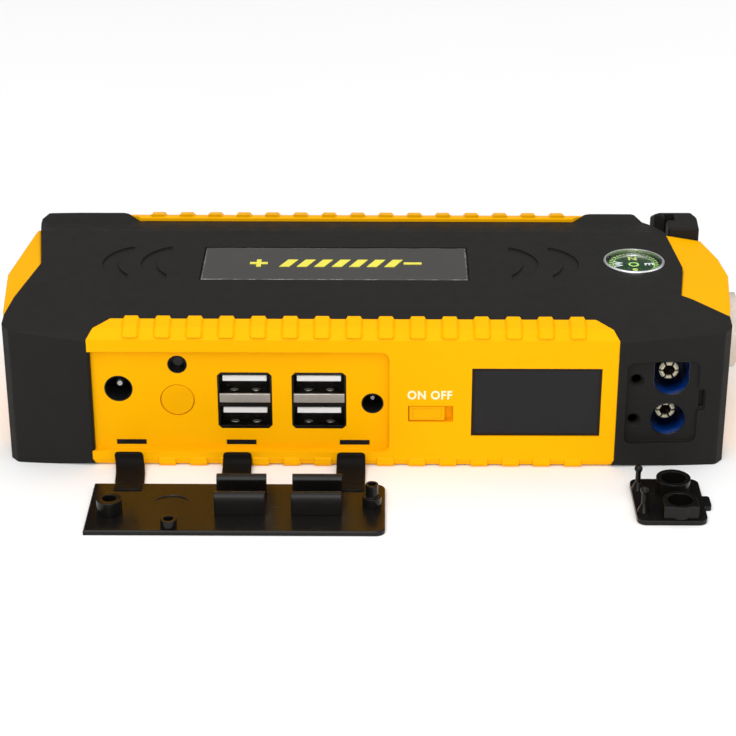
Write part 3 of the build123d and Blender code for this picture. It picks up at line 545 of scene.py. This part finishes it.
def socket_blue():
    """Glossy blue barrels: black at the front rim, bright behind it, and painted shade that darkens
    them deeper in.
    """
    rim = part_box("socket_housing")[0].y
    shader = Shader("blue_plastic")
    blue = shader.mix(shader.by_depth(rim + 0.1 * MM, rim + 0.9 * MM), (0.006, 0.006, 0.008, 1),
                      (0.0, 0.05, 0.30, 1))
    # painted shade: deeper inside the barrel the blue darkens to near black
    tint_with_painted_shade = shader.mix(shader.by_depth(rim + 1.6 * MM, rim + 6.0 * MM), blue,
                      (0.0, 0.004, 0.03, 1))
    return shader.moulded(tint_with_painted_shade, (0.02, 0.10, 0.45), rough=0.16, grain=0.6 * MM, depth=0.02,
                          edge=0.3 * MM, wear_and_highlight_share=0.05, mottle=0.35, specular=0.4)


def gold_tips():
    """Gold-plated split pins: bright at the tip, with painted shade turning them near-black brown
    behind it, deeper in the socket.
    """
    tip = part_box("socket_pins")[0].y
    shader = Shader("gold_plated")
    # painted shade: behind the bright tip the gold darkens to near-black brown, deeper in the socket
    tint_with_painted_shade = shader.mix(shader.by_depth(tip + 0.35 * MM, tip + 0.9 * MM), (1.0, 0.90, 0.62, 1),
                      (0.035, 0.018, 0.008, 1))
    return shader.moulded(tint_with_painted_shade, (1.0, 0.90, 0.70), rough=0.25, grain=0.3 * MM, depth=0.04,
                          edge=0.1 * MM, wear_and_highlight_share=0.2, mottle=0.2)


# ---- operators --------------------------------------------------------------------------------
class PACK_OT_case(Operator):
    """Finish the two shells, the yellow panels, the belt cutter and the screws"""
    bl_idname = "pack.case"
    bl_label = "Case"

    def execute(self, context):
        shell = context.scene.pack_shell
        finish_nodes({
            "black_shell": soft_black(shell),
            "yellow_panel": yellow_plastic(shell),
            "yellow_button": yellow_plastic(shell, "yellow_button", 0.93),
            "blade_steel": metal("blade_steel", (0.75, 0.75, 0.76), (0.5, 0.5, 0.5), 0.2, 0.3),
            "screw_steel": metal("plated_steel", (0.68, 0.67, 0.65), (0.42, 0.41, 0.4), 0.28, 0.1)})
        return {"FINISHED"}


class PACK_OT_top(Operator):
    """Finish the name plate and the compass"""
    bl_idname = "pack.top"
    bl_label = "Name plate and compass"

    def execute(self, context):
        low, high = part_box("compass_card")
        finish_nodes({
            # painted highlight: the name plate's edges take a near-white edge colour at full share
            "plate_grey": moulded("plate_grey", (0.056, 0.054, 0.052), (1.0, 0.98, 0.95), rough=0.34,
                                  grain=0.4 * MM, depth=0.08, edge=0.6 * MM, wear_and_highlight_share=1.0, mottle=0.15,
                                  specular=0.25),
            "gold_mark": moulded("gold_mark", (0.95, 0.86, 0.08), (1.0, 0.95, 0.40), rough=0.3,
                                 grain=0.3 * MM, depth=0.05, edge=0.06 * MM, wear_and_highlight_share=0.4, mottle=0.12,
                                 specular=0.6),
            "black_gloss": moulded("black_gloss", (0.012, 0.012, 0.012), (0.06, 0.06, 0.06),
                                   rough=0.2, depth=0.02, wear_and_highlight_share=0.2, mottle=0.3, specular=0.15),
            "chrome_ring": metal("chrome_ring", (0.90, 0.91, 0.92), (0.70, 0.71, 0.73), 0.30, 0.05),
            "clear_dome": clear_dome(),
            "compass_dial": dial_print((low + high) / 2, (high.x - low.x) / 2)})
        return {"FINISHED"}


class PACK_OT_ports(Operator):
    """Finish the sockets, contacts, display, lamps and everything inside"""
    bl_idname = "pack.ports"
    bl_label = "Ports and inside"

    def execute(self, context):
        self.spring_tabs()
        finish_nodes({
            "usb_steel": metal("usb_steel", (0.62, 0.58, 0.52), (0.42, 0.38, 0.34), 0.38, 0.3),
            "usb_black": metal("usb_black", (0.045, 0.04, 0.035), (0.015, 0.013, 0.011), 0.3, 0.2),
            "smoked_lens": moulded("smoked_lens", (0.006, 0.005, 0.005), (0.02, 0.02, 0.02),
                                   rough=0.15, depth=0.02, wear_and_highlight_share=0.1, mottle=0.3, specular=0.3),
            "white_plastic": moulded("white_plastic", (0.88, 0.87, 0.85), (0.92, 0.92, 0.90),
                                     rough=0.4, depth=0.05, wear_and_highlight_share=0.2, mottle=0.2),
            "gold_contact": metal("gold_contact", (0.95, 0.72, 0.34), (0.7, 0.5, 0.2), 0.2, 0.1),
            "brass_pin": gold_tips(),
            "blue_plastic": socket_blue(),
            "display_glass": display_glass(),
            "board_green": moulded("solder_mask", (0.01, 0.09, 0.035), (0.2, 0.3, 0.1), rough=0.3),
            "lamp_white": moulded("lamp_white", (0.32, 0.31, 0.27), (0.5, 0.5, 0.45), rough=0.25),
            "cell_foil": metal("cell_foil", (0.72, 0.72, 0.74), (0.55, 0.55, 0.57), 0.35, 0.1),
            "foam": moulded("foam", (0.05, 0.05, 0.05), (0.08, 0.08, 0.08), rough=0.9,
                            grain=0.8 * MM, depth=0.8)})
        return {"FINISHED"}

    def spring_tabs(self):
        """Two low spring tabs on the floor of each USB mouth, as flat ellipsoids.

        At turn a and height angle b a point lies at the middle plus the three half sizes times
        cos a cos b, sin a cos b and sin b.
        """
        stacks, floors, apart = (-29.9 * MM, -11.65 * MM), (10.5 * MM, 19.2 * MM), 2.7 * MM
        depth, half = -34.7 * MM, (1.1 * MM, 0.75 * MM, 0.15 * MM)
        turn = np.linspace(0, 2 * math.pi, 24, endpoint=False)[None, :]
        height = np.linspace(-0.49, 0.49, 13)[:, None] * math.pi
        shape = np.stack([half[0] * np.cos(turn) * np.cos(height),
                          half[1] * np.sin(turn) * np.cos(height),
                          half[2] * np.sin(height) + 0 * turn], -1)
        meshes = [tube_mesh("tab", shape + np.array([stack + side * apart, depth, floor]))
                  for stack in stacks for floor in floors for side in (-1, 1)]
        steel = metal("spring_steel", (0.90, 0.86, 0.78), (0.7, 0.66, 0.6), 0.3, 0.1)
        piece = new_piece("usb_spring_tabs", join_meshes("usb_spring_tabs", meshes), steel)
        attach(piece, "case")


class PACK_OT_torch(Operator):
    """Finish the torch lens and its reflector"""
    bl_idname = "pack.torch"
    bl_label = "Torch"

    def execute(self, context):
        finish_nodes({
            "clear_lens": ringed_lens(),
            "mirror_bowl": metal("mirror_bowl", (0.88, 0.88, 0.87), (0.7, 0.7, 0.7), 0.08, 0.03)})
        return {"FINISHED"}


class PACK_OT_covers(Operator):
    """Finish the rubber covers and make the bent straps"""
    bl_idname = "pack.covers"
    bl_label = "Rubber covers"

    def execute(self, context):
        covers = context.scene.pack_rubber
        material = rubber(covers)
        finish_nodes({"black_rubber": material})
        self.straps(covers)
        self.thumb_mark(material)
        return {"FINISHED"}

    def straps(self, covers):
        """Three straps in one mesh: a rounded rectangle carried along a bend from wall to plate.

        The bend is a cubic curve that leaves the panel's foot downwards and lands level on the
        plate's edge, and a second one climbs onto the plate. The width swells a little halfway,
        and is rounded at the wall as the root of 1 - s squared. The left strap leans sideways,
        by an amount that grows evenly until it reaches the plate.
        """
        low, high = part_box("port_cover_straps")
        plate_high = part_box("port_cover")[1]
        thickness, width, overlap = 1.1 * MM, 7.0 * MM, 3.6 * MM
        wall, edge, level = PANEL_FACE, plate_high.y, thickness / 2
        middles = (low.x + width / 2, -32.0 * MM, high.x - width / 2)
        leans = (1.2 * MM, 0.0, 0.0)
        landing, lap = edge + 0.6 * MM, plate_high.z - 0.2 * MM
        bend = ((wall - level, high.z - 0.05 * MM), (wall - level, 0.2 * MM),
                (wall - 3.6 * MM, level), (landing, level))
        climb = ((landing, level), (edge - 0.6 * MM, level), (edge - 0.4 * MM, lap),
                 (edge - overlap, lap))
        down, downward = bezier(bend, covers.strap_steps)
        onto, onward = bezier(climb, covers.strap_steps // 3)
        place, along = np.concatenate([down[:-1], onto]), np.concatenate([downward[:-1], onward])
        normal = np.stack([along[:, 1], -along[:, 0]], 1)
        across, up = rounded_profile(covers.strap_edge / thickness)
        travel = np.linspace(0, 1, len(place))
        tip = 0.84 + 0.16 * np.sqrt(1 - np.clip(1 - travel / 0.05, 0, 1) ** 2)
        breadth = width * tip * (1 + 0.03 * np.sin(travel * math.pi))
        meshes = []
        for middle, lean in zip(middles, leans):
            middle_line = middle + lean * np.minimum(travel / 0.75, 1)
            rings = np.empty((len(place), len(across), 3))
            rings[..., 0] = middle_line[:, None] + breadth[:, None] * across[None, :]
            rings[..., 1] = place[:, :1] + normal[:, :1] * up[None, :] * thickness
            rings[..., 2] = place[:, 1:] + normal[:, 1:] * up[None, :] * thickness
            meshes.append(tube_mesh("strap", rings))
        material = rubber(covers, "strap_rubber", 0.6, 0.08)
        piece = new_piece("cover_straps", join_meshes("cover_straps", meshes), material)
        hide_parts("port_cover_straps")
        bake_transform(piece)

    def thumb_mark(self, material):
        """Thin raised crescent over the button's place: a small oval carried round part of a circle.

        At turn t the middle lies on the circle, and the oval's half width falls to nothing at
        both ends as the root of 1 - s squared, where s runs from -1 to 1 along the crescent.
        """
        button_low, button_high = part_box("round_button")
        plate_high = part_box("port_cover")[1]
        fold = plate_high.y + 6.4 * MM
        radius, half_width, half_height = 4.7 * MM, 0.34 * MM, 0.32 * MM
        steps, around = 48, 12
        centre_x = (button_low.x + button_high.x) / 2
        centre_y = fold - (button_low.z + button_high.z) / 2
        along = np.linspace(-0.98, 0.98, steps)
        turn = math.pi / 2 - along * math.radians(62)
        thick = np.sqrt(1 - along ** 2)
        angle = np.linspace(0, 2 * math.pi, around, endpoint=False)
        reach = radius + half_width * thick[:, None] * np.cos(angle)[None, :]
        rings = np.empty((steps, around, 3))
        rings[..., 0] = centre_x + reach * np.cos(turn)[:, None]
        rings[..., 1] = centre_y + reach * np.sin(turn)[:, None]
        rings[..., 2] = plate_high.z + half_height * thick[:, None] * np.sin(angle)[None, :]
        piece = new_piece("thumb_mark", tube_mesh("thumb_mark", rings), material)
        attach(piece, "port_lid")


class PACK_OT_letters(Operator):
    """Print the two words over the slide switch and the four points on the compass card"""
    bl_idname = "pack.letters"
    bl_label = "Lettering"

    def execute(self, context):
        marks = context.scene.pack_marks
        self.switch_words(marks)
        if marks.dial_letters:
            self.dial_points()
        return {"FINISHED"}

    def switch_words(self, marks):
        """Words laid flat on the panel: across becomes X, up becomes Z, thickness becomes -Y."""
        knob_low, knob_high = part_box("switch_knob")
        depth, sunk, length = 0.06 * MM, 0.01 * MM, 10.9 * MM
        left, foot = knob_low.x - 0.35 * MM, knob_high.z + 1.95 * MM
        mesh = letters_mesh("switch_words", "ON OFF", marks.letter_height, depth)
        flat = vertex_array(mesh)
        place = np.stack([left + flat[:, 0] * length / flat[:, 0].max(),
                          PANEL_FACE + sunk - flat[:, 2], foot + flat[:, 1]], 1)
        place_vertices(mesh, place)
        piece = new_piece("switch_words", mesh, printed_ink("pale_ink", (1.0, 0.93, 0.62)))
        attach(piece, "case")

    def dial_points(self):
        """Four letters round the card, each with its foot towards the centre."""
        low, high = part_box("compass_card")
        centre = (low + high) / 2
        ring, height, depth, sunk = 3.9 * MM, 2.3 * MM, 0.05 * MM, 0.01 * MM
        points = (("N", 0.0, (0.80, 0.95, 0.25)), ("S", 1.0, (0.75, 0.92, 0.20)),
                  ("E", 1.5, (0.85, 0.95, 0.95)), ("W", 0.5, (0.85, 0.95, 0.95)))
        for letter, half_turns, ink in points:
            mesh = letters_mesh("dial_" + letter, letter, height, depth)
            flat = vertex_array(mesh)
            flat[:, :2] -= flat[:, :2].max(0) / 2
            flat[:, 1] += ring
            c, s = math.cos(half_turns * math.pi), math.sin(half_turns * math.pi)
            place = np.stack([centre.x + c * flat[:, 0] - s * flat[:, 1],
                              centre.y + s * flat[:, 0] + c * flat[:, 1],
                              high.z - sunk + flat[:, 2]], 1)
            place_vertices(mesh, place)
            piece = new_piece("dial_" + letter, mesh, printed_ink("dial_ink_" + letter, ink))
            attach(piece, "compass")


class PACK_OT_stage(Operator):
    """Set the pale floor, the soft lights and the camera"""
    bl_idname = "pack.stage"
    bl_label = "Studio"

    def execute(self, context):
        studio = context.scene.pack_studio
        self.floor()
        self.world(studio)
        self.light("key", (-0.25, -0.75, 0.95), 0.9, studio.key)
        self.light("fill", (0.85, 0.1, 0.6), 0.7, studio.key * 0.2)
        self.light("front", (0.05, -1.2, 0.40), 0.8, studio.front)
        self.camera(studio)
        context.scene.view_settings.view_transform = "Standard"
        return {"FINISHED"}

    def floor(self):
        """Pale sheet, with faint unevenness so that it isn't one flat colour."""
        reach = 3.0
        corners = np.array([(-1, -1, 0), (1, -1, 0), (1, 1, 0), (-1, 1, 0)]) * reach
        mesh = bpy.data.meshes.new("floor")
        mesh.from_pydata(corners.tolist(), [], [(0, 1, 2, 3)])
        shader = Shader("floor_paper")
        paper = shader.mix(shader.noise(shader.place(), 9.0, 4.0), (0.95, 0.95, 0.95, 1),
                           (0.98, 0.98, 0.98, 1))
        shader.set(Base_Color=paper, Roughness=0.9, Specular_IOR_Level=0.1)
        floor = new_piece("floor", mesh, shader.material)

    def world(self, studio):
        """White sky whose strength is horizon + sky times the squared sine of the height angle."""
        world = bpy.data.worlds.new("studio_sky")
        world.use_nodes = True
        sky = Nodes(world.node_tree)
        upward = sky.parts(sky.add("ShaderNodeTexCoord").outputs["Generated"])[2]
        squared = sky.calc("POWER", sky.calc("MAXIMUM", upward, 0.0), 2.0)
        strength = sky.calc("MULTIPLY_ADD", squared, studio.sky, studio.horizon)
        sky.feed_all(sky.tree.nodes["Background"].inputs, Color=(1, 1, 1, 1), Strength=strength)
        bpy.context.scene.world = world

    def light(self, name, place, size, power):
        """Square soft light that faces the pack."""
        lamp = bpy.data.lights.new(name, "AREA")
        lamp.size = size
        lamp.energy = power
        holder = bpy.data.objects.new(name, lamp)
        bpy.context.scene.collection.objects.link(holder)
        holder.location = place
        towards = Vector((0, 0, 0.02)) - holder.location
        holder.rotation_euler = towards.to_track_quat("-Z", "Y").to_euler()

    def camera(self, studio):
        """Camera at its place, turned by the pitch and the yaw, with its horizon level."""
        data = bpy.data.cameras.new("camera")
        data.lens = studio.lens
        data.sensor_width = 36.0
        data.clip_start = 0.01
        camera = bpy.data.objects.new("camera", data)
        bpy.context.scene.collection.objects.link(camera)
        camera.location = studio.place
        camera.rotation_euler = (math.pi / 2 - studio.pitch, 0, studio.yaw)
        bpy.context.scene.camera = camera


# ---- panel and registration -------------------------------------------------------------------
STEPS = (PACK_OT_stage, PACK_OT_case, PACK_OT_top, PACK_OT_ports, PACK_OT_torch, PACK_OT_covers,
         PACK_OT_letters)


class PACK_PT_panel(Panel):
    """Buttons for every step, in the 3D view's sidebar"""
    bl_label = "Jump starter"
    bl_idname = "PACK_PT_panel"
    bl_space_type = "VIEW_3D"
    bl_region_type = "UI"
    bl_category = "Pack"

    def draw(self, context):
        for step in STEPS:
            self.layout.operator(step.bl_idname)
        for title in SETTINGS:
            group = getattr(context.scene, title)
            box = self.layout.box()
            for name in group.bl_rna.properties.keys():
                if name not in {"rna_type", "name"}:
                    box.prop(group, name)


SETTINGS = {"pack_shell": PackShellSettings, "pack_rubber": PackRubberSettings,
            "pack_marks": PackMarkSettings, "pack_studio": PackStudioSettings}


def register():
    for group in SETTINGS.values():
        bpy.utils.register_class(group)
    for name, group in SETTINGS.items():
        setattr(bpy.types.Scene, name, PointerProperty(type=group))
    for step in STEPS:
        bpy.utils.register_class(step)
    bpy.utils.register_class(PACK_PT_panel)


def unregister():
    bpy.utils.unregister_class(PACK_PT_panel)
    for step in reversed(STEPS):
        bpy.utils.unregister_class(step)
    for name, group in SETTINGS.items():
        delattr(bpy.types.Scene, name)
        bpy.utils.unregister_class(group)


def main():
    """Make every piece in order."""
    register()
    for step in STEPS:
        area, action = step.bl_idname.split(".")
        getattr(getattr(bpy.ops, area), action)()


if __name__ == "__main__":
    main()
